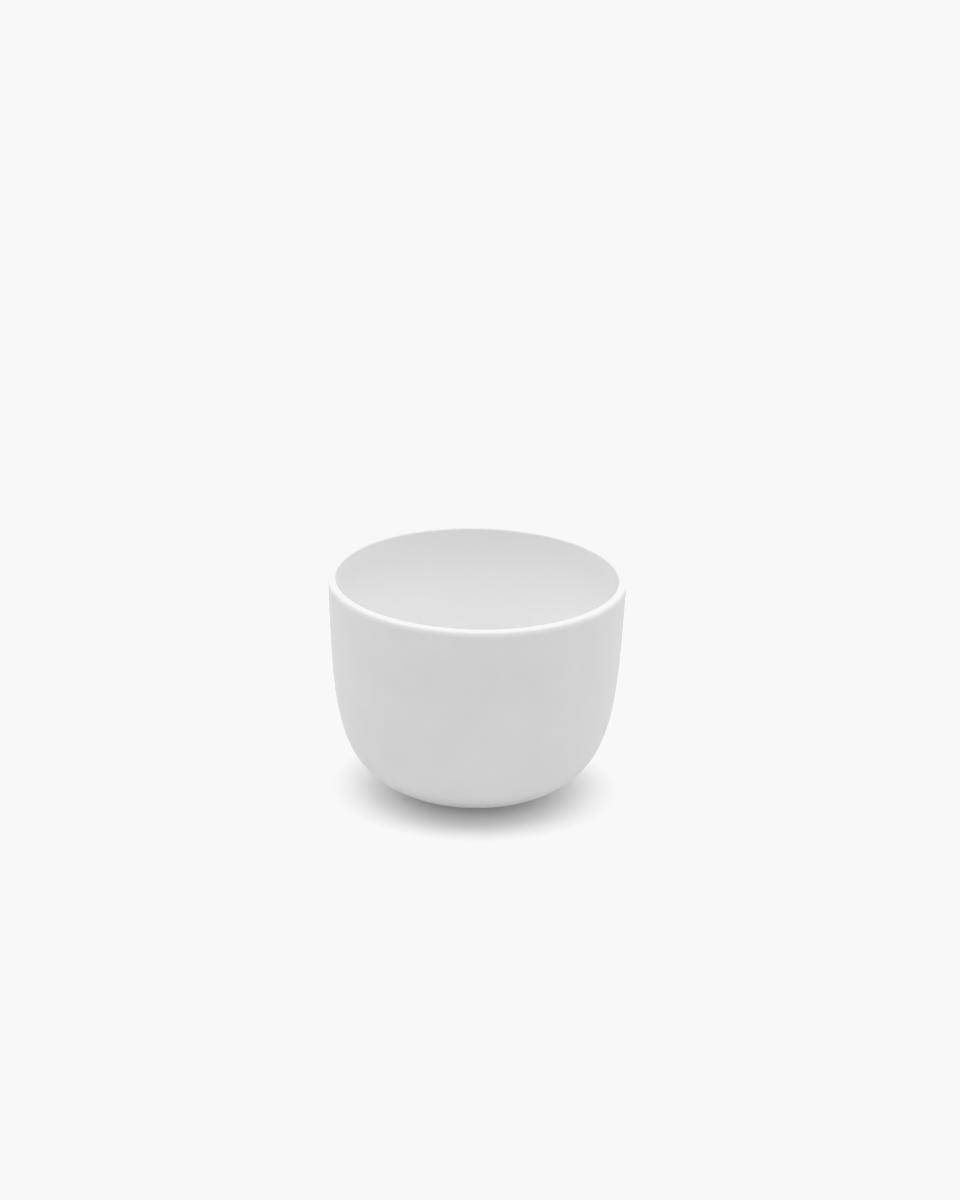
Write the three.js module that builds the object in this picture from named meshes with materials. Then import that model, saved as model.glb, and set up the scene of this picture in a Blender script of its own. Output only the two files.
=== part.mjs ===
// A handleless espresso cup in white porcelain, matt outside and satin inside.
//
// The cup is a body of revolution about +Z, in millimetres. Its origin is on the axis, on the table
// that the foot ring stands on. One fired porcelain body carries three coats of glaze: outside, inside,
// and in the well under the foot. The foot ring is left bare, so that it doesn't stick to the kiln shelf.

import * as THREE from "three";

// Overall form, measured over the glaze.
const RIM_DIAMETER = 64;
const HEIGHT = 48.6;
const LIP_THICKNESS = 1.7;
const WALL_THICKNESS = 3.2;
const THICKENING_DEPTH = 24; // below the lip, where the wall reaches its full thickness

// The side is one cubic curve from the lip to the foot ring. It leaves the lip leaning in by the taper and
// reaches the foot ring at the belly's slope. The longer the handle at an end, the straighter the side there.
const SIDE_TAPER_DEG = 2.7;
const SIDE_HANDLE = 29.5;
const BELLY_SLOPE_DEG = 15;
const BELLY_HANDLE = 17.8;

// Foot ring, a low ring under the belly.
const FOOT_DIAMETER = 27;
const FOOT_CLEARANCE = 0.75; // table to the belly, where the belly meets the foot ring
const FOOT_RING_WIDTH = 2.6;
const FOOT_EDGE_RADIUS = 0.3;

// Floor of the cup, between the well under it and the cavity above it, over the glaze.
const WELL_DEPTH = 1.6;
const WELL_CORNER_RADIUS = 1;
const FLOOR_THICKNESS = 3.6;
const CAVITY_CORNER_RADIUS = 14;

// Glaze. The bond gap keeps each coat just clear of the porcelain that it is fused to.
const GLAZE_THICKNESS = 0.25;
const BOND_GAP = 0.02;
const LIP_SEAM = 0.04; // between the outside and inside coats, at the crown of the lip
const BARE_MARGIN = 0.6; // bare porcelain between the outside coat and the foot ring

// Finishes: a bare fired body, a matt glaze and a satin glaze, all white and none of them metallic.
const BARE_PORCELAIN = { color: 0xe9e7e1, roughness: 0.8, metalness: 0 };
const MATT_GLAZE = { color: 0xdcdcdb, roughness: 0.6, metalness: 0 };
const SATIN_GLAZE = { color: 0xeeeeed, roughness: 0.4, metalness: 0 };

// Facets.
const FACETS_AROUND = 48;
const LIP_STEPS = 4;
const SIDE_STEPS = 12;
const CORNER_STEPS = 5;
const FOOT_EDGE_STEPS = 2;
const WELL_CORNER_STEPS = 3;
const BISECTION_STEPS = 40;

// Depths below the finished surface: the face of a coat, its back, and the porcelain under it.
const COAT_FACE = 0;
const COAT_BACK = GLAZE_THICKNESS;
const PORCELAIN = GLAZE_THICKNESS + BOND_GAP;

const LIP_RADIUS = LIP_THICKNESS / 2;
const CAVITY_FLOOR = WELL_DEPTH + FLOOR_THICKNESS;
const QUARTER_TURN = Math.PI / 2;
const taper = THREE.MathUtils.degToRad(SIDE_TAPER_DEG);
const slope = THREE.MathUtils.degToRad(BELLY_SLOPE_DEG);

// A point of a profile: its radius from the axis and its height above the table.
function point(radius, height) {
  return new THREE.Vector2(radius, height);
}

// Points along a circular arc, from one angle to another, with both ends.
function arc(centre, radius, fromAngle, toAngle, steps) {
  const points = [];
  for (let step = 0; step <= steps; step += 1) {
    const angle = THREE.MathUtils.lerp(fromAngle, toAngle, step / steps);
    points.push(point(centre.x + radius * Math.cos(angle), centre.y + radius * Math.sin(angle)));
  }
  return points;
}

// The finished outside, from the outer edge of the round lip down to the foot ring.
const lipCentre = point(RIM_DIAMETER / 2 - LIP_RADIUS, HEIGHT - LIP_RADIUS);
const sideTop = point(lipCentre.x + LIP_RADIUS * Math.cos(taper), lipCentre.y - LIP_RADIUS * Math.sin(taper));
const sideFoot = point(FOOT_DIAMETER / 2, FOOT_CLEARANCE);
const sideCurve = new THREE.CubicBezierCurve(
  sideTop,
  point(sideTop.x - SIDE_HANDLE * Math.sin(taper), sideTop.y - SIDE_HANDLE * Math.cos(taper)),
  point(sideFoot.x + BELLY_HANDLE * Math.cos(slope), sideFoot.y + BELLY_HANDLE * Math.sin(slope)),
  sideFoot,
);

// The point that lies the given depth inside the finished outside, square to it. A place on the side runs
// from 0 at the lip to 1 at the foot ring.
function inset(place, depth) {
  const tangent = sideCurve.getTangent(place);
  const onSide = sideCurve.getPoint(place);
  return point(onSide.x + tangent.y * depth, onSide.y - tangent.x * depth);
}

// The wall is as thin as the lip at the top and thickens smoothly below it.
function wallThickness(place) {
  const belowLip = sideTop.y - sideCurve.getPoint(place).y;
  const share = THREE.MathUtils.smoothstep(belowLip, 0, THICKENING_DEPTH);
  return THREE.MathUtils.lerp(LIP_THICKNESS, WALL_THICKNESS, share);
}

// Places along the side, evenly spaced from the lip to the given place.
function placesDownTo(lastPlace) {
  const places = [];
  for (let step = 0; step <= SIDE_STEPS; step += 1) {
    places.push((lastPlace * step) / SIDE_STEPS);
  }
  return places;
}

// The cavity's corner starts where a circle inside the wall just touches the floor too.
function findCornerStart() {
  let high = 0;
  let low = 1;
  for (let step = 0; step < BISECTION_STEPS; step += 1) {
    const middle = (high + low) / 2;
    const centre = inset(middle, wallThickness(middle) + CAVITY_CORNER_RADIUS);
    if (centre.y > CAVITY_FLOOR + CAVITY_CORNER_RADIUS) {
      high = middle;
    } else {
      low = middle;
    }
  }
  return high;
}

const glazeEnd = sideCurve.getUtoTmapping(0, sideCurve.getLength() - BARE_MARGIN);
const outsidePlaces = placesDownTo(glazeEnd);
const cornerStart = findCornerStart();
const cavityPlaces = placesDownTo(cornerStart);
const cornerCentre = inset(cornerStart, wallThickness(cornerStart) + CAVITY_CORNER_RADIUS);
const cornerTangent = sideCurve.getTangent(cornerStart);
const cornerStartAngle = Math.atan2(cornerTangent.x, -cornerTangent.y);

// The outer half of the lip at a depth, from its outer edge up to the given angle.
function outerLip(depth, crownAngle) {
  return arc(lipCentre, LIP_RADIUS - depth, -taper, crownAngle, LIP_STEPS);
}

// The inner half of the lip at a depth, from the given angle down to its inner edge.
function innerLip(depth, crownAngle) {
  return arc(lipCentre, LIP_RADIUS - depth, crownAngle, Math.PI - taper, LIP_STEPS);
}

// The angle on the lip, at a depth, that lies half the seam outside its crown.
function seamAngle(depth) {
  return Math.acos(LIP_SEAM / 2 / (LIP_RADIUS - depth));
}

// The outside at a depth, from the lip down to the end of the coat. The lip's own edge is left out.
function outsideWall(depth) {
  return outsidePlaces.slice(1).map((place) => inset(place, depth));
}

// The cavity at a depth into the material: down the wall, round the corner and in to the floor's centre.
function cavity(depth) {
  const wall = cavityPlaces.slice(1).map((place) => inset(place, wallThickness(place) - depth));
  const cornerRadius = CAVITY_CORNER_RADIUS + depth;
  const corner = arc(cornerCentre, cornerRadius, cornerStartAngle, -QUARTER_TURN, CORNER_STEPS);
  return [...wall, ...corner.slice(1), point(0, CAVITY_FLOOR - depth)];
}

const footTop = inset(1, PORCELAIN);
const wellSide = footTop.x - FOOT_RING_WIDTH;
const wellCornerCentre = point(wellSide - PORCELAIN - WELL_CORNER_RADIUS, WELL_DEPTH - WELL_CORNER_RADIUS);

// The well under the cup at a depth into the material, from its side in to the axis.
function well(depth) {
  const corner = arc(wellCornerCentre, WELL_CORNER_RADIUS + depth, 0, QUARTER_TURN, WELL_CORNER_STEPS);
  return [...corner, point(0, WELL_DEPTH + depth)];
}

// The bare foot ring, from the belly down its outer side, across the face it stands on and up into the well.
function footRing() {
  const outerEdge = point(footTop.x - FOOT_EDGE_RADIUS, FOOT_EDGE_RADIUS);
  const innerEdge = point(wellSide + FOOT_EDGE_RADIUS, FOOT_EDGE_RADIUS);
  return [
    footTop,
    ...arc(outerEdge, FOOT_EDGE_RADIUS, 0, -QUARTER_TURN, FOOT_EDGE_STEPS),
    ...arc(innerEdge, FOOT_EDGE_RADIUS, -QUARTER_TURN, -Math.PI, FOOT_EDGE_STEPS),
  ];
}

// A profile turned about +Z into a named piece. The profile starts and ends on the axis or closes on itself.
function turned(name, profile, finish) {
  const geometry = new THREE.LatheGeometry(profile, FACETS_AROUND);
  geometry.rotateX(QUARTER_TURN);
  const mesh = new THREE.Mesh(geometry, new THREE.MeshStandardMaterial(finish));
  mesh.name = name;
  return mesh;
}

function porcelainBody() {
  const lip = [...outerLip(PORCELAIN, QUARTER_TURN), ...innerLip(PORCELAIN, QUARTER_TURN).slice(1)];
  const downInside = [...lip, ...cavity(PORCELAIN)];
  const underside = [...outsideWall(PORCELAIN), ...footRing(), ...well(PORCELAIN)];
  const profile = [...underside.reverse(), ...downInside];
  return turned("porcelain_body", profile, BARE_PORCELAIN);
}

function outsideGlaze() {
  const face = [...outsideWall(COAT_FACE).reverse(), ...outerLip(COAT_FACE, seamAngle(COAT_FACE))];
  const back = [...outsideWall(COAT_BACK).reverse(), ...outerLip(COAT_BACK, seamAngle(COAT_BACK))];
  const profile = [...face, ...back.reverse(), face[0].clone()];
  return turned("outside_glaze", profile, MATT_GLAZE);
}

function insideGlaze() {
  const face = [...innerLip(COAT_FACE, Math.PI - seamAngle(COAT_FACE)), ...cavity(COAT_FACE)];
  const back = [...innerLip(COAT_BACK, Math.PI - seamAngle(COAT_BACK)), ...cavity(COAT_BACK)];
  const profile = [...back.reverse(), ...face];
  return turned("inside_glaze", profile, SATIN_GLAZE);
}

function footWellGlaze() {
  const profile = [...well(COAT_FACE).reverse(), ...well(COAT_BACK)];
  return turned("foot_well_glaze", profile, SATIN_GLAZE);
}

const cup = new THREE.Group();
cup.add(porcelainBody(), outsideGlaze(), insideGlaze(), footWellGlaze());

export default cup;
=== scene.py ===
# A handleless espresso cup in white porcelain, matt outside and satin inside, on a pale studio floor.
# Metres, +Z up, origin on the table under the middle of the cup.

import math

import bmesh
import bpy
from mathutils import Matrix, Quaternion, Vector


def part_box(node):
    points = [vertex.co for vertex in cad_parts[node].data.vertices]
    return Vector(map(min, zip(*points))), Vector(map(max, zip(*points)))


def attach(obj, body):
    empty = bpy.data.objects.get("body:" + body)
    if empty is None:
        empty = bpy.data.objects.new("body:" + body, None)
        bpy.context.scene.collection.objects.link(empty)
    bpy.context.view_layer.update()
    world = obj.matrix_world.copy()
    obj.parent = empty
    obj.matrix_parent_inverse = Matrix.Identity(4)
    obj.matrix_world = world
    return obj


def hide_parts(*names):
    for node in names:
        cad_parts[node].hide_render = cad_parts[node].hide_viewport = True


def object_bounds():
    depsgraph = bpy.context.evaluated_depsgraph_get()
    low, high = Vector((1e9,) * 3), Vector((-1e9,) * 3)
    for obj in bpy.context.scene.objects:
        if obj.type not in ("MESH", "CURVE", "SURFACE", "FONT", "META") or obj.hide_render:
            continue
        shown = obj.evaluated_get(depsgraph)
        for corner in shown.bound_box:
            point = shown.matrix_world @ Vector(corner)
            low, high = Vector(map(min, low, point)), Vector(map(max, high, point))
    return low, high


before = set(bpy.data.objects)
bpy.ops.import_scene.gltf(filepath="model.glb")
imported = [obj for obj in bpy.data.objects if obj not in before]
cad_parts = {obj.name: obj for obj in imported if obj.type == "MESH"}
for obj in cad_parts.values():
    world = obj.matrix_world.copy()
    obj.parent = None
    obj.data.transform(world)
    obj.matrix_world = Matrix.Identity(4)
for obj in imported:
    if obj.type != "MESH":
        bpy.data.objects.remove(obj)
cad_low, cad_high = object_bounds()

# Sizes over the glaze, the first two from the frame
MM = 0.001
RIM_RADIUS = cad_high.x
HEIGHT = cad_high.z
LIP_THICKNESS = 1.7 * MM
WALL_THICKNESS = 3.2 * MM
THICKENING_DEPTH = 24 * MM
SIDE_TAPER = math.radians(2.7)
SIDE_HANDLE = 29.5 * MM
BELLY_SLOPE = math.radians(15)
BELLY_HANDLE = 17.8 * MM
FOOT_RADIUS = 13.5 * MM
FOOT_CLEARANCE = 0.75 * MM
FOOT_RING_WIDTH = 2.6 * MM
FOOT_EDGE_RADIUS = 0.3 * MM
WELL_DEPTH = 1.6 * MM
WELL_CORNER_RADIUS = 1.0 * MM
FLOOR_THICKNESS = 3.6 * MM
CAVITY_CORNER_RADIUS = 14 * MM
LIP_RADIUS = LIP_THICKNESS / 2
CAVITY_FLOOR = WELL_DEPTH + FLOOR_THICKNESS
MID_FLOOR = WELL_DEPTH + FLOOR_THICKNESS / 2

# Glaze, as depths below the finished surface
GLAZE_THICKNESS = 0.25 * MM
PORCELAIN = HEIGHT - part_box("porcelain_body")[1].z
BARE_MARGIN = 0.6 * MM

# Steps of the turned meshes, the gap that is welded shut and the angle past which an edge is sharp
AROUND = 192
SIDE_STEPS = 72
LIP_STEPS = 16
CORNER_STEPS = 24
EDGE_STEPS = 6
BISECTION_STEPS = 40
WELD = 0.001 * MM
SHARP = math.radians(40)

# Camera, worked out from the outline of the cup's mouth and sides in an image of 960 by 1200 pixels
IMAGE_WIDTH = 960
IMAGE_HEIGHT = 1200
MOUTH_X = 477.35
MOUTH_Y = 576.3
PIXELS_PER_METRE = 4671
CAMERA_DISTANCE = 1.0
CAMERA_ELEVATION = math.radians(21.05)
CAMERA_ROLL = math.radians(1.06)
CAMERA_REACH = 20.0


# Profiles: points of radius and height, turned about the axis later

def arc(centre, radius, start, end, steps):
    """Points along a circular arc, with both its ends."""
    angles = [start + (end - start) * step / steps for step in range(steps + 1)]
    return [centre + radius * Vector((math.cos(angle), math.sin(angle))) for angle in angles]


LIP_CENTRE = Vector((RIM_RADIUS - LIP_RADIUS, HEIGHT - LIP_RADIUS))
SIDE_TOP = LIP_CENTRE + LIP_RADIUS * Vector((math.cos(SIDE_TAPER), -math.sin(SIDE_TAPER)))
SIDE_FOOT = Vector((FOOT_RADIUS, FOOT_CLEARANCE))
SIDE_KNOTS = (
    SIDE_TOP,
    SIDE_TOP - SIDE_HANDLE * Vector((math.sin(SIDE_TAPER), math.cos(SIDE_TAPER))),
    SIDE_FOOT + BELLY_HANDLE * Vector((math.cos(BELLY_SLOPE), math.sin(BELLY_SLOPE))),
    SIDE_FOOT,
)


def side(place):
    """Point and direction of the finished outside, at a place from 0 at the lip to 1 at the foot ring."""
    points = SIDE_KNOTS
    while len(points) > 2:
        points = [a.lerp(b, place) for a, b in zip(points, points[1:])]
    return points[0].lerp(points[1], place), (points[1] - points[0]).normalized()


def inset(place, depth):
    """The point that lies a depth inside the finished outside, square to it."""
    point, run = side(place)
    return point + depth * Vector((run.y, -run.x))


def wall(place):
    """The wall's thickness: thin at the lip, full below the thickening depth."""
    share = min(1.0, (SIDE_TOP.y - side(place)[0].y) / THICKENING_DEPTH)
    smooth = share * share * (3 - 2 * share)
    return LIP_THICKNESS + (WALL_THICKNESS - LIP_THICKNESS) * smooth


def corner_start():
    """The place where a circle inside the wall just touches the cavity's floor."""
    high, low = 0.0, 1.0
    for _ in range(BISECTION_STEPS):
        middle = (high + low) / 2
        centre = inset(middle, wall(middle) + CAVITY_CORNER_RADIUS)
        if centre.y > CAVITY_FLOOR + CAVITY_CORNER_RADIUS:
            high = middle
        else:
            low = middle
    return high


def places(last):
    """Even places along the side, from just under the lip to the last one."""
    return [last * (step + 1) / SIDE_STEPS for step in range(SIDE_STEPS)]


CORNER_START = corner_start()
CORNER_CENTRE = inset(CORNER_START, wall(CORNER_START) + CAVITY_CORNER_RADIUS)
CORNER_RUN = side(CORNER_START)[1]
BELLY_PACE = 3 * BELLY_HANDLE  # a cubic curve's length per unit of place at its end is three handles
GLAZE_END = 1 - BARE_MARGIN / BELLY_PACE
FOOT_TOP = inset(1, PORCELAIN)
WELL_SIDE = FOOT_TOP.x - FOOT_RING_WIDTH
WELL_CORNER = Vector((WELL_SIDE - PORCELAIN - WELL_CORNER_RADIUS, WELL_DEPTH - WELL_CORNER_RADIUS))


def outer_lip(depth):
    """The outer half of the lip, from its crown out to the side."""
    return arc(LIP_CENTRE, LIP_RADIUS - depth, math.pi / 2, -SIDE_TAPER, LIP_STEPS)


def inner_lip(depth):
    """The inner half of the lip, from its crown in to the cavity."""
    return arc(LIP_CENTRE, LIP_RADIUS - depth, math.pi / 2, math.pi - SIDE_TAPER, LIP_STEPS)


def outside(depth):
    """The side at a depth, from under the lip down to the glaze line."""
    return [inset(place, depth) for place in places(GLAZE_END)]


def cavity(depth):
    """The cavity at a depth: down the wall, round the corner and in to the middle of the floor."""
    down = [inset(place, wall(place) - depth) for place in places(CORNER_START)]
    start = math.atan2(CORNER_RUN.x, -CORNER_RUN.y)
    corner = arc(CORNER_CENTRE, CAVITY_CORNER_RADIUS + depth, start, -math.pi / 2, CORNER_STEPS)
    return down + corner[1:] + [Vector((0, CAVITY_FLOOR - depth))]


def well(depth):
    """The well under the floor at a depth, from its side in to the axis."""
    corner = arc(WELL_CORNER, WELL_CORNER_RADIUS + depth, 0, math.pi / 2, EDGE_STEPS)
    return corner + [Vector((0, WELL_DEPTH + depth))]


def foot_ring():
    """The bare ring: down its outer side, across the face that it stands on and up into the well."""
    outer = Vector((FOOT_TOP.x - FOOT_EDGE_RADIUS, FOOT_EDGE_RADIUS))
    inner = Vector((WELL_SIDE + FOOT_EDGE_RADIUS, FOOT_EDGE_RADIUS))
    return [
        FOOT_TOP,
        *arc(outer, FOOT_EDGE_RADIUS, 0, -math.pi / 2, EDGE_STEPS),
        *arc(inner, FOOT_EDGE_RADIUS, -math.pi / 2, -math.pi, EDGE_STEPS),
    ]


def rounded_end(face, back):
    """The rolled end of a coat: a half circle from its face round to its back."""
    centre = (face + back) / 2
    spoke = face - centre
    start = math.atan2(spoke.y, spoke.x)
    return arc(centre, spoke.length, start, start + math.pi, EDGE_STEPS)[1:-1]


# Materials

# Colours as sRGB, roughness, IOR and glow. A pair gives the two ends that a surface clouds between.
CERAMIC_IOR = 1.5
MATT_WHITE = ("D7D7D8", "DFDFDE")
MATT_LIP_GLOW_WHITE = "F4F4F4"
MATT_ROUGHNESS = (0.56, 0.64)
SATIN_WHITE = ("F7F7F8", "FBFBFA")
SATIN_LIP_GLOW_WHITE = "FEFEFE"
SATIN_ROUGHNESS = (0.36, 0.42)
BOTTOM_SHADE_GREY = "DBDBDB"
BARE_WHITE = ("EAE8E2", "EFEDE8")
BARE_ROUGHNESS = 0.8
RUBBED_GREY = "CFCCC5"
BOARD_WHITE = "F8F8F8"
BOARD_ROUGHNESS = 1.0
BOARD_SHEEN = 0.0
BOARD_GLOW = 0.08
LAMP_WHITE = "FFFFFF"

# Sizes of the patterns, and how deep each one is or how far it reaches
CLOUD_SIZE = 9 * MM
MATT_LIP_GLOW_REACH = 1.7 * MM
SATIN_LIP_GLOW_REACH = 6 * MM
WAVER_SIZE = 6 * MM
WAVER_DEPTH = 0.4 * MM
EGGSHELL_SIZE = 1.0 * MM
EGGSHELL_DEPTH = 0.05 * MM
PEEL_SIZE = 2.5 * MM
PEEL_DEPTH = 0.03 * MM
BOTTOM_SHADE_REACH = 14 * MM
BISCUIT_SIZE = 0.5 * MM
BISCUIT_DEPTH = 0.02 * MM
GRINDING_SPACING = 0.25 * MM
GRINDING_DEPTH = 0.004 * MM
RUB_SIZE = 1.5 * MM
RUB_DEPTH = 0.12 * MM

# Octaves of a noise: few in a flowed or wavering surface, more in clouds
SMOOTH = 1.0
FINE = 2.0
CLOUDY = 5.0

# Most of a noise's values lie between these two
NOISE_LOW = 0.3
NOISE_HIGH = 0.7

# Where a Mix node keeps its two colours and their blend
MIX_A = 6
MIX_B = 7
MIX_OUT = 2


def linear(colour):
    """An sRGB colour, such as F4F4F2, as linear red, green, blue and alpha, by the standard formula."""
    shares = [int(colour[start:start + 2], 16) / 255 for start in (0, 2, 4)]
    return [s / 12.92 if s <= 0.04045 else ((s + 0.055) / 1.055) ** 2.4 for s in shares] + [1.0]


def add(tree, kind, inputs, **settings):
    """Adds a node with its settings. An input is a value, or another node's output to link."""
    node = tree.nodes.new(kind)
    for name, value in settings.items():
        setattr(node, name, value)
    for socket, value in inputs.items():
        if isinstance(value, bpy.types.NodeSocket):
            tree.links.new(value, node.inputs[socket])
        else:
            node.inputs[socket].default_value = value
    return node


def new_material(name):
    """An empty material: itself, its node tree and the object's own coordinates."""
    material = bpy.data.materials.new(name)
    material.use_nodes = True
    tree = material.node_tree
    tree.nodes.clear()
    return material, tree, add(tree, "ShaderNodeTexCoord", {}).outputs["Object"]


def coat_of_glaze(tree, place, whites, lip_glow_white, lip_glow_reach, roughness):
    """A coat's clouded white, painted paler towards the lip as a painted glow of light through the thin
    lip, and the roughness that clouds with it.
    """
    cloud = add(tree, "ShaderNodeTexNoise", {
        "Vector": place, "Scale": 1 / CLOUD_SIZE, "Detail": CLOUDY}).outputs["Fac"]
    coat = add(tree, "ShaderNodeMix", {
        "Factor": cloud, MIX_A: linear(whites[0]), MIX_B: linear(whites[1])}, data_type="RGBA")
    waver = add(tree, "ShaderNodeTexNoise", {
        "Vector": place, "Scale": 1 / WAVER_SIZE, "Detail": FINE}).outputs["Fac"]
    height = add(tree, "ShaderNodeSeparateXYZ", {"Vector": place}).outputs["Z"]
    wavering = add(tree, "ShaderNodeMath", {
        0: waver, 1: WAVER_DEPTH, 2: height}, operation="MULTIPLY_ADD").outputs["Value"]
    crown = HEIGHT + WAVER_DEPTH / 2  # the waver lifts the height by half its depth on average
    # Painted light: towards the crown the white is painted paler, standing in for light that shines through
    # the thin lip.
    painted_lip_glow = add(tree, "ShaderNodeMapRange", {
        "Value": wavering, "From Min": crown - lip_glow_reach, "From Max": crown,
    }, interpolation_type="SMOOTHSTEP").outputs["Result"]
    white = add(tree, "ShaderNodeMix", {
        "Factor": painted_lip_glow, MIX_A: coat.outputs[MIX_OUT], MIX_B: linear(lip_glow_white)}, data_type="RGBA")
    clouded = add(tree, "ShaderNodeMapRange", {
        "Value": cloud, "From Min": NOISE_LOW, "From Max": NOISE_HIGH,
        "To Min": roughness[0], "To Max": roughness[1]}).outputs["Result"]
    return white.outputs[MIX_OUT], clouded


def matt_glaze():
    # A sprayed and fired matt glaze. Fine crystals in it scatter the light, so it has one broad, soft sheen
    # and no reflections. It clouds a little where the spray overlaps and has an eggshell grain, which is
    # really about 0.1 mm across, too fine for the image, and is drawn coarser: in light as even as this it
    # only just shows. The lip is thin enough to let light through, and a paler white stands in for that.
    material, tree, place = new_material("matt_porcelain_glaze")
    colour, roughness = coat_of_glaze(
        tree, place, MATT_WHITE, MATT_LIP_GLOW_WHITE, MATT_LIP_GLOW_REACH, MATT_ROUGHNESS)
    eggshell = add(tree, "ShaderNodeTexNoise", {
        "Vector": place, "Scale": 1 / EGGSHELL_SIZE, "Detail": FINE}).outputs["Fac"]
    grain = add(tree, "ShaderNodeBump", {"Height": eggshell, "Distance": EGGSHELL_DEPTH}).outputs["Normal"]
    surface = add(tree, "ShaderNodeBsdfPrincipled", {
        "Base Color": colour, "Roughness": roughness, "IOR": CERAMIC_IOR, "Normal": grain})
    add(tree, "ShaderNodeOutputMaterial", {"Surface": surface.outputs["BSDF"]})
    return material


def satin_glaze():
    # A poured and fired satin glaze. It flows smooth, with a faint peel, so it carries a soft, blurred
    # sheen. It is whiter than the matt coat. Its bottom is painted greyer: painted shade that holds back
    # the strong light from above, so the bottom keeps its shading.
    material, tree, place = new_material("satin_porcelain_glaze")
    # Near the lip this coat is painted paler: a painted glow that stands in for light shining through the
    # thin wall.
    coat, roughness = coat_of_glaze(
        tree, place, SATIN_WHITE, SATIN_LIP_GLOW_WHITE, SATIN_LIP_GLOW_REACH, SATIN_ROUGHNESS)
    height = add(tree, "ShaderNodeSeparateXYZ", {"Vector": place}).outputs["Z"]
    # Painted shade: the cavity's bottom is painted greyer, fading out upward, so the strong light from
    # above does not wash it out.
    bottom_shade = add(tree, "ShaderNodeMapRange", {
        "Value": height, "From Min": CAVITY_FLOOR + BOTTOM_SHADE_REACH, "From Max": CAVITY_FLOOR,
    }, interpolation_type="SMOOTHSTEP").outputs["Result"]
    in_cavity = add(tree, "ShaderNodeMath", {
        0: height, 1: MID_FLOOR}, operation="GREATER_THAN").outputs["Value"]
    painted_bottom_shade = add(tree, "ShaderNodeMath", {0: bottom_shade, 1: in_cavity}, operation="MULTIPLY").outputs["Value"]
    colour = add(tree, "ShaderNodeMix", {
        "Factor": painted_bottom_shade, MIX_A: coat, MIX_B: linear(BOTTOM_SHADE_GREY)}, data_type="RGBA")
    peel = add(tree, "ShaderNodeTexNoise", {
        "Vector": place, "Scale": 1 / PEEL_SIZE, "Detail": SMOOTH}).outputs["Fac"]
    ripple = add(tree, "ShaderNodeBump", {"Height": peel, "Distance": PEEL_DEPTH}).outputs["Normal"]
    surface = add(tree, "ShaderNodeBsdfPrincipled", {
        "Base Color": colour.outputs[MIX_OUT], "Roughness": roughness,
        "IOR": CERAMIC_IOR, "Normal": ripple})
    add(tree, "ShaderNodeOutputMaterial", {"Surface": surface.outputs["BSDF"]})
    return material


def bare_porcelain():
    # Fired porcelain with no glaze: chalky and a little warm, with a fine grain. The face of the foot ring
    # was ground flat, which leaves fine rings, and it is rubbed grey where the cup stands. The real grain
    # and rings are about 0.1 mm apart or less, and are drawn coarser so that they show.
    material, tree, place = new_material("bare_fired_porcelain")
    cloud = add(tree, "ShaderNodeTexNoise", {
        "Vector": place, "Scale": 1 / RUB_SIZE, "Detail": CLOUDY}).outputs["Fac"]
    body = add(tree, "ShaderNodeMix", {
        "Factor": cloud, MIX_A: linear(BARE_WHITE[0]), MIX_B: linear(BARE_WHITE[1])}, data_type="RGBA")
    split = add(tree, "ShaderNodeSeparateXYZ", {"Vector": place}).outputs
    face = add(tree, "ShaderNodeMapRange", {
        "Value": split["Z"], "From Min": RUB_DEPTH, "From Max": 0.0}).outputs["Result"]
    rubbed = add(tree, "ShaderNodeMath", {0: face, 1: cloud}, operation="MULTIPLY").outputs["Value"]
    colour = add(tree, "ShaderNodeMix", {
        "Factor": rubbed, MIX_A: body.outputs[MIX_OUT], MIX_B: linear(RUBBED_GREY)}, data_type="RGBA")
    level = add(tree, "ShaderNodeCombineXYZ", {"X": split["X"], "Y": split["Y"]}).outputs["Vector"]
    radius = add(tree, "ShaderNodeVectorMath", {0: level}, operation="LENGTH").outputs["Value"]
    turn = add(tree, "ShaderNodeMath", {
        0: radius, 1: math.tau / GRINDING_SPACING}, operation="MULTIPLY").outputs["Value"]
    rings = add(tree, "ShaderNodeMath", {0: turn}, operation="SINE").outputs["Value"]
    ground = add(tree, "ShaderNodeMath", {0: rings, 1: face}, operation="MULTIPLY").outputs["Value"]
    biscuit = add(tree, "ShaderNodeTexNoise", {
        "Vector": place, "Scale": 1 / BISCUIT_SIZE, "Detail": FINE}).outputs["Fac"]
    grain = add(tree, "ShaderNodeBump", {"Height": biscuit, "Distance": BISCUIT_DEPTH}).outputs["Normal"]
    scored = add(tree, "ShaderNodeBump", {
        "Height": ground, "Distance": GRINDING_DEPTH, "Normal": grain}).outputs["Normal"]
    surface = add(tree, "ShaderNodeBsdfPrincipled", {
        "Base Color": colour.outputs[MIX_OUT], "Roughness": BARE_ROUGHNESS,
        "IOR": CERAMIC_IOR, "Normal": scored})
    add(tree, "ShaderNodeOutputMaterial", {"Surface": surface.outputs["BSDF"]})
    return material


def studio_white():
    # Matt white board, faintly lit from below, so that shadows on it stay soft.
    material, tree, _ = new_material("matt_white_board")
    surface = add(tree, "ShaderNodeBsdfPrincipled", {
        "Base Color": linear(BOARD_WHITE), "Roughness": BOARD_ROUGHNESS, "Specular IOR Level": BOARD_SHEEN,
        "Emission Color": linear(LAMP_WHITE), "Emission Strength": BOARD_GLOW})
    add(tree, "ShaderNodeOutputMaterial", {"Surface": surface.outputs["BSDF"]})
    return material


# Pieces

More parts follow.
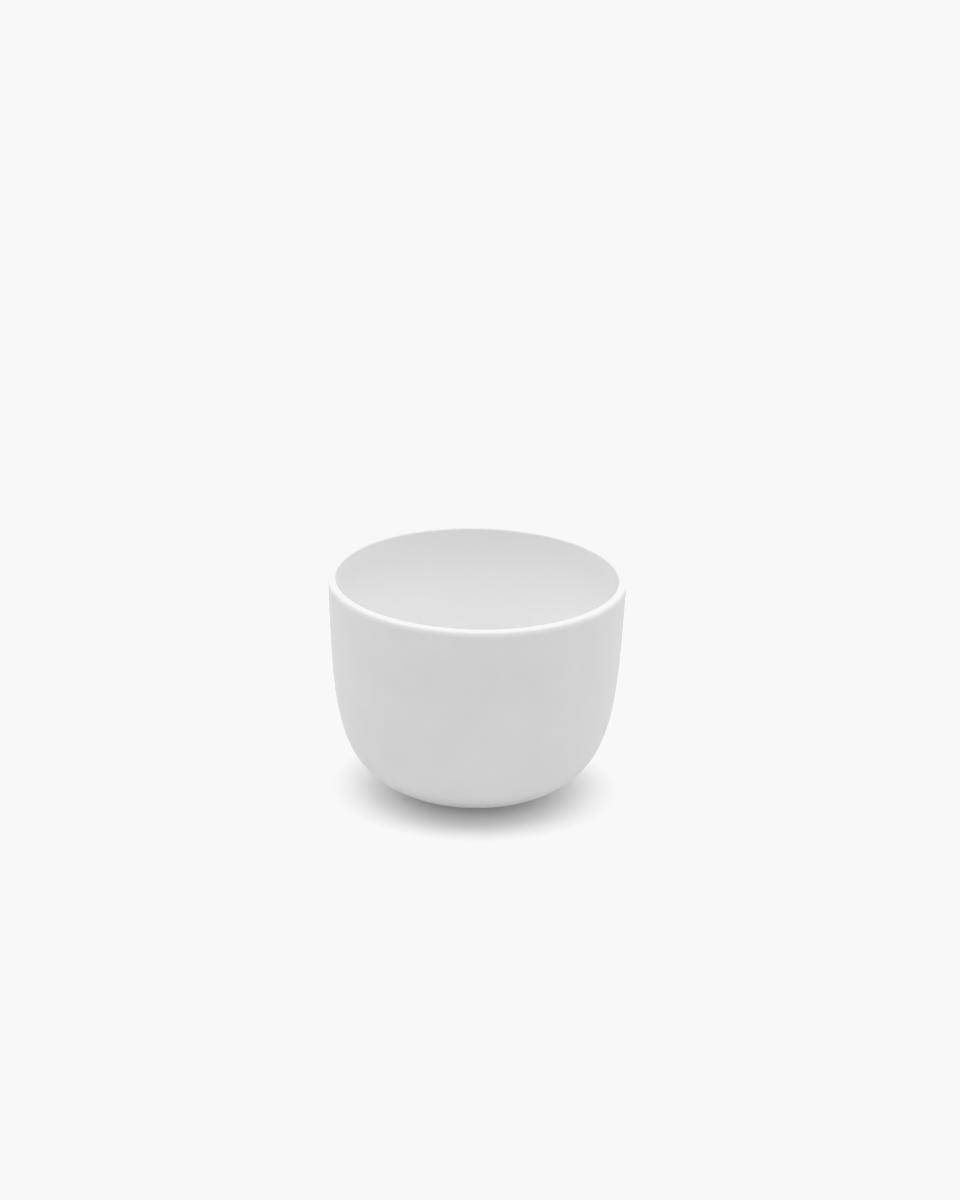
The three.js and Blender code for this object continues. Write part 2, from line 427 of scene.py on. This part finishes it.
def turned(name, profile, material, node):
    """A profile turned about the axis into a piece that stands for a node of the frame.

    It starts and ends on the axis, or else it closes on itself.
    """
    shape = bmesh.new()
    points = [shape.verts.new((point.x, 0, point.y)) for point in profile]
    lines = [shape.edges.new(ends) for ends in zip(points, points[1:])]
    if profile[0].x > WELD:
        lines.append(shape.edges.new((points[-1], points[0])))
    bmesh.ops.spin(shape, geom=points + lines, cent=(0, 0, 0), axis=(0, 0, 1),
                   angle=math.tau, steps=AROUND, use_merge=True)
    bmesh.ops.remove_doubles(shape, verts=shape.verts, dist=WELD)
    bmesh.ops.recalc_face_normals(shape, faces=shape.faces)
    mesh = bpy.data.meshes.new(name)
    shape.to_mesh(mesh)
    shape.free()
    mesh.shade_smooth()
    mesh.set_sharp_from_angle(angle=SHARP)
    mesh.materials.append(material)
    piece = bpy.data.objects.new(name, mesh)
    bpy.context.scene.collection.objects.link(piece)
    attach(piece, "root")
    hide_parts(node)


def make_cup():
    """The fired body and its three coats."""
    matt = matt_glaze()
    satin = satin_glaze()
    bare = bare_porcelain()

    under = outside(PORCELAIN) + foot_ring() + well(PORCELAIN)
    over = inner_lip(PORCELAIN)[1:] + cavity(PORCELAIN)
    body = under[::-1] + outer_lip(PORCELAIN)[::-1] + over
    turned("fired_porcelain_body", body, bare, "porcelain_body")

    face = outer_lip(0) + outside(0)
    back = outer_lip(GLAZE_THICKNESS) + outside(GLAZE_THICKNESS)
    coat = face + rounded_end(face[-1], back[-1]) + back[::-1]
    turned("outside_matt_glaze", coat, matt, "outside_glaze")

    face = inner_lip(0) + cavity(0)
    back = inner_lip(GLAZE_THICKNESS) + cavity(GLAZE_THICKNESS)
    turned("inside_satin_glaze", back[::-1] + face, satin, "inside_glaze")

    face = well(0)
    back = well(GLAZE_THICKNESS)
    coat = face[::-1] + rounded_end(face[0], back[0])[::-1] + back
    turned("foot_well_satin_glaze", coat, satin, "foot_well_glaze")


# Floor, light and camera

FLOOR_SIZE = 4.0  # metres from its middle to its edge
PAPER_WHITE = linear("F8F8F8")[0]
WHOLE_TONE = 3  # the tone curve that acts on all three colours together
SURROUND = 0.15

# Soft lights: the compass angles from the camera's side round to its right, the height above the floor and
# the half width, all in degrees, and the strength
SOFT_LIGHTS = {
    "overhead_softbox": ((0,), 90, 34, 2.88),
    "front_softbox": ((0,), 60, 30, 0.32),
    "side_softboxes": ((90, 270), 60, 30, 1.2),
    "white_walls": (range(0, 360, 45), 36, 30, 0.36),
    "white_backdrop": ((135, 180, 225), 10, 30, 0.78),
}


def make_floor():
    """A plain white board under the cup."""
    shape = bmesh.new()
    bmesh.ops.create_grid(shape, x_segments=1, y_segments=1, size=FLOOR_SIZE)
    mesh = bpy.data.meshes.new("studio_floor")
    shape.to_mesh(mesh)
    shape.free()
    mesh.materials.append(studio_white())
    floor = bpy.data.objects.new("studio_floor", mesh)
    bpy.context.scene.collection.objects.link(floor)


def make_light():
    """Soft lights in a dim white surround, and a tone curve that stops at the white of paper."""
    world = bpy.data.worlds.new("studio_light")
    bpy.context.scene.world = world
    world.use_nodes = True
    tree = world.node_tree
    tree.nodes.clear()
    way = add(tree, "ShaderNodeTexCoord", {}).outputs["Generated"]
    glow = SURROUND
    for turns, height, half_width, strength in SOFT_LIGHTS.values():
        rise = math.radians(height)
        for turn in map(math.radians, turns):
            toward = (math.sin(turn) * math.cos(rise), -math.cos(turn) * math.cos(rise), math.sin(rise))
            nearness = add(tree, "ShaderNodeVectorMath", {
                0: way, 1: toward}, operation="DOT_PRODUCT").outputs["Value"]
            light = add(tree, "ShaderNodeMapRange", {
                "Value": nearness, "From Min": math.cos(math.radians(half_width)), "To Max": strength,
            }, interpolation_type="SMOOTHSTEP").outputs["Result"]
            glow = add(tree, "ShaderNodeMath", {0: glow, 1: light}, operation="ADD").outputs["Value"]
    sky = add(tree, "ShaderNodeBackground", {"Color": linear(LAMP_WHITE), "Strength": glow})
    add(tree, "ShaderNodeOutputWorld", {"Surface": sky.outputs["Background"]})

    tone = bpy.context.scene.view_settings
    tone.view_transform = "Standard"
    tone.use_curve_mapping = True
    tone.curve_mapping.extend = "HORIZONTAL"
    tone.curve_mapping.curves[WHOLE_TONE].points[-1].location = (PAPER_WHITE, PAPER_WHITE)
    tone.curve_mapping.update()


def make_camera():
    """The camera, aimed so that the middle of the mouth lies at its measured place in the image."""
    data = bpy.data.cameras.new("camera")
    camera = bpy.data.objects.new("camera", data)
    bpy.context.scene.collection.objects.link(camera)
    bpy.context.scene.camera = camera
    focal_pixels = PIXELS_PER_METRE * CAMERA_DISTANCE
    data.lens = data.sensor_width * focal_pixels / IMAGE_HEIGHT
    data.clip_end = CAMERA_REACH
    mouth = Vector((0, 0, HEIGHT))
    away = Vector((0, -math.cos(CAMERA_ELEVATION), math.sin(CAMERA_ELEVATION)))
    ahead = Vector((0, 0, -1))
    to_mouth = Vector((MOUTH_X - IMAGE_WIDTH / 2, IMAGE_HEIGHT / 2 - MOUTH_Y, -focal_pixels))
    level = (-away).to_track_quat("-Z", "Y")
    roll = Quaternion((0, 0, 1), CAMERA_ROLL)
    aim = ahead.rotation_difference(to_mouth).inverted()
    camera.location = mouth + away * CAMERA_DISTANCE
    camera.rotation_mode = "QUATERNION"
    camera.rotation_quaternion = level @ roll @ aim


make_camera()
make_cup()
make_floor()
make_light()
